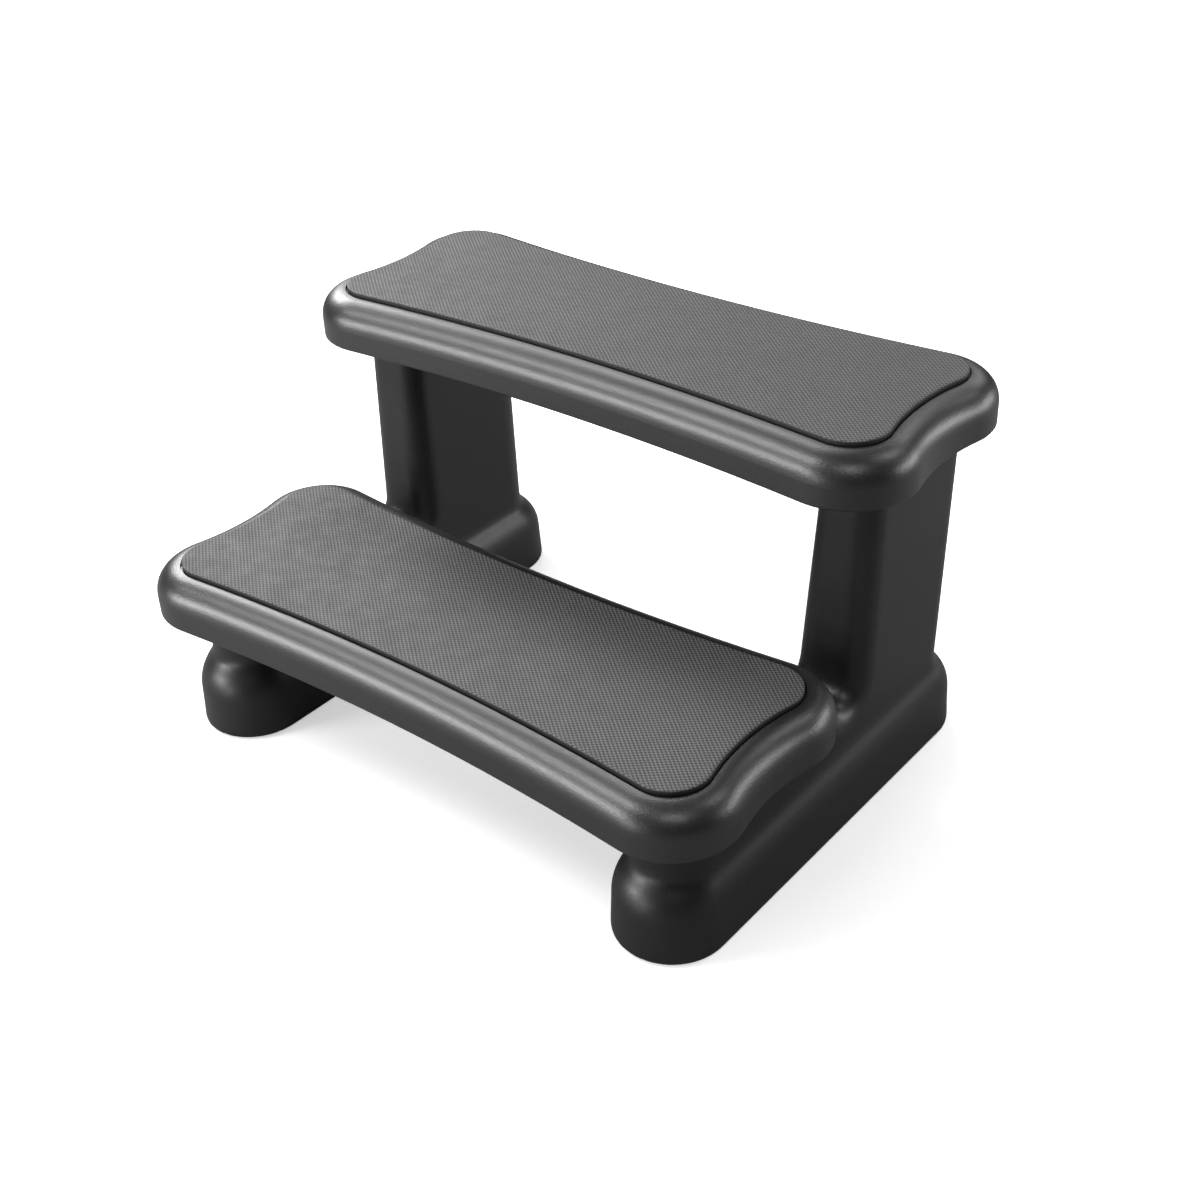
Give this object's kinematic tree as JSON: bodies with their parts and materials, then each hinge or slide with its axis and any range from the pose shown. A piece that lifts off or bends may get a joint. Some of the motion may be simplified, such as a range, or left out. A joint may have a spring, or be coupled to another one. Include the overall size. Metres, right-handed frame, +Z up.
{
  "type": "two-step spa steps",
  "caption": "Free-standing two-step moulded plastic steps for a spa or hot tub, with hollow-sided treads, grey anti-slip mats and rounded L-shaped side frames.",
  "frame": {"origin": "on the floor, below the middle of the whole object", "axes": "+Z up, +Y from the lower step towards the upper step, +X to the right of a person walking up"},
  "size_m": [0.64, 0.487, 0.364],
  "materials": {
    "tread_plastic": "charcoal polypropylene with a fine moulded grain, satin",
    "frame_plastic": "near-black polyethylene, smooth satin",
    "mat_rubber": "mid-grey, fine ribs and dots",
    "pad_rubber": "black, matt",
    "stainless_steel": "bright",
    "insert_brass": "as turned"
  },
  "bodies": {
    "root": {"left_side_frame": "frame_plastic", "right_side_frame": "frame_plastic", "lower_tread": "tread_plastic", "lower_mat": "mat_rubber", "lower_left_screws": "stainless_steel", "lower_left_washers": "stainless_steel", "lower_left_inserts": "insert_brass", "lower_right_screws": "stainless_steel", "lower_right_washers": "stainless_steel", "lower_right_inserts": "insert_brass", "upper_tread": "tread_plastic", "upper_mat": "mat_rubber", "upper_left_screws": "stainless_steel", "upper_left_washers": "stainless_steel", "upper_left_inserts": "insert_brass", "upper_right_screws": "stainless_steel", "upper_right_washers": "stainless_steel", "upper_right_inserts": "insert_brass", "front_left_foot_pad": "pad_rubber", "front_right_foot_pad": "pad_rubber", "rear_left_foot_pad": "pad_rubber", "rear_right_foot_pad": "pad_rubber"}
  },
  "joints": []
}
